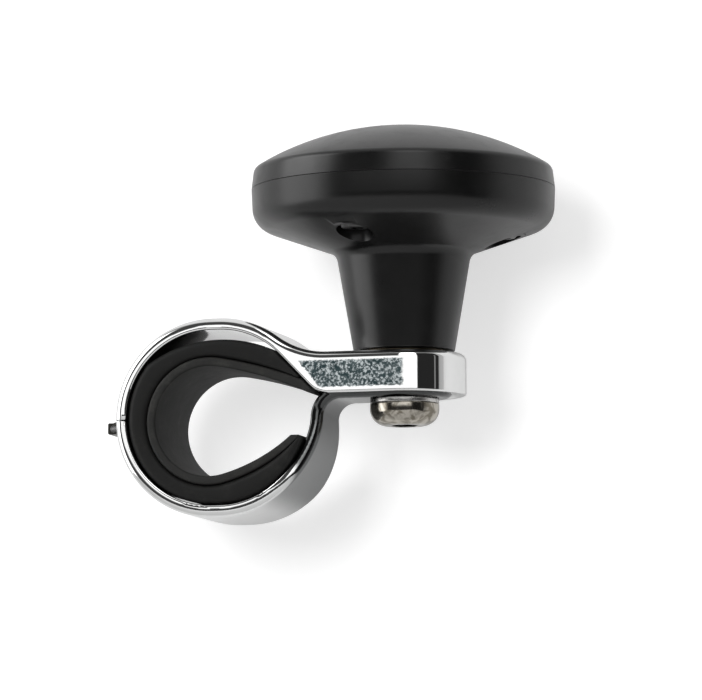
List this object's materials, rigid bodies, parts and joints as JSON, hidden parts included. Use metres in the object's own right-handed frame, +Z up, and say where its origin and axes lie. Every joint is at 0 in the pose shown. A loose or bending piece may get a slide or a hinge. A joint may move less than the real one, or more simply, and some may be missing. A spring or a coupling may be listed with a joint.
{
  "type": "steering wheel spinner knob",
  "caption": "Domed plastic knob on a tapered stem that turns freely on a hinged chrome clamp, which grips a steering wheel rim with rubber liners and one socket bolt.",
  "frame": {"origin": "centre of the gripped rim, in the middle of the clamp's width", "axes": "+Y along the gripped rim towards the back, +X from the rim to the knob, +Z up along the knob's axis"},
  "size_m": [0.0912, 0.0614, 0.0791],
  "materials": {
    "chrome_casting": "polished chrome plate on a casting",
    "chrome_strap": "polished chrome plate on bent strap",
    "pin_steel": "bright drawn steel",
    "liner_rubber": "matte moulded rubber",
    "bolt_nickel": "nickel plate, slightly dappled",
    "washer_zinc": "zinc plate",
    "spindle_steel": "ground steel",
    "bearing_steel": "hardened bearing steel",
    "bronze": "sintered bronze",
    "seal_rubber": "moulded rubber",
    "knob_plastic": "black moulded plastic, half gloss",
    "screw_steel": "zinc plated steel"
  },
  "bodies": {
    "clamp": {"upper_bracket": "chrome_casting", "hinge_pin": "pin_steel", "outer_liner": "liner_rubber", "inner_liner": "liner_rubber", "spindle": "spindle_steel", "thrust_washer": "bronze", "spindle_washer": "washer_zinc", "lock_washer": "washer_zinc", "spindle_nut": "washer_zinc"},
    "jaw": {"lower_jaw": "chrome_strap"},
    "bolt": {"clamp_bolt": "bolt_nickel", "bolt_washer": "washer_zinc"},
    "knob": {"knob_body": "knob_plastic", "knob_cap": "knob_plastic", "cap_screws": "screw_steel", "needle_cup": "bearing_steel", "grease_seal": "seal_rubber", "upper_bush": "bronze"},
    "cage": {"needle_cage": "bearing_steel", "needle_rollers": "bearing_steel"}
  },
  "joints": [
    {"name": "jaw_swing", "type": "hinge", "parent": "clamp", "child": "jaw", "pos_m": [-0.0217, 0, -0.0005], "axis": [0, 1, 0], "range_deg": [0, 45]},
    {"name": "bolt_withdraw", "type": "slide", "parent": "clamp", "child": "bolt", "axis": [0, 0, -1], "range_m": [0, 0.0866]},
    {"name": "knob_spin", "type": "hinge", "parent": "clamp", "child": "knob", "pos_m": [0.0377, 0, 0], "axis": [0, 0, 1], "continuous": true},
    {"name": "cage_spin", "type": "hinge", "parent": "clamp", "child": "cage", "pos_m": [0.0377, 0, 0], "axis": [0, 0, 1], "continuous": true}
  ],
  "couplings": [
    {"joint": "bolt_withdraw", "follows": "jaw_swing", "m_per_rad": 0.11},
    {"joint": "cage_spin", "follows": "knob_spin", "ratio": 0.545}
  ]
}
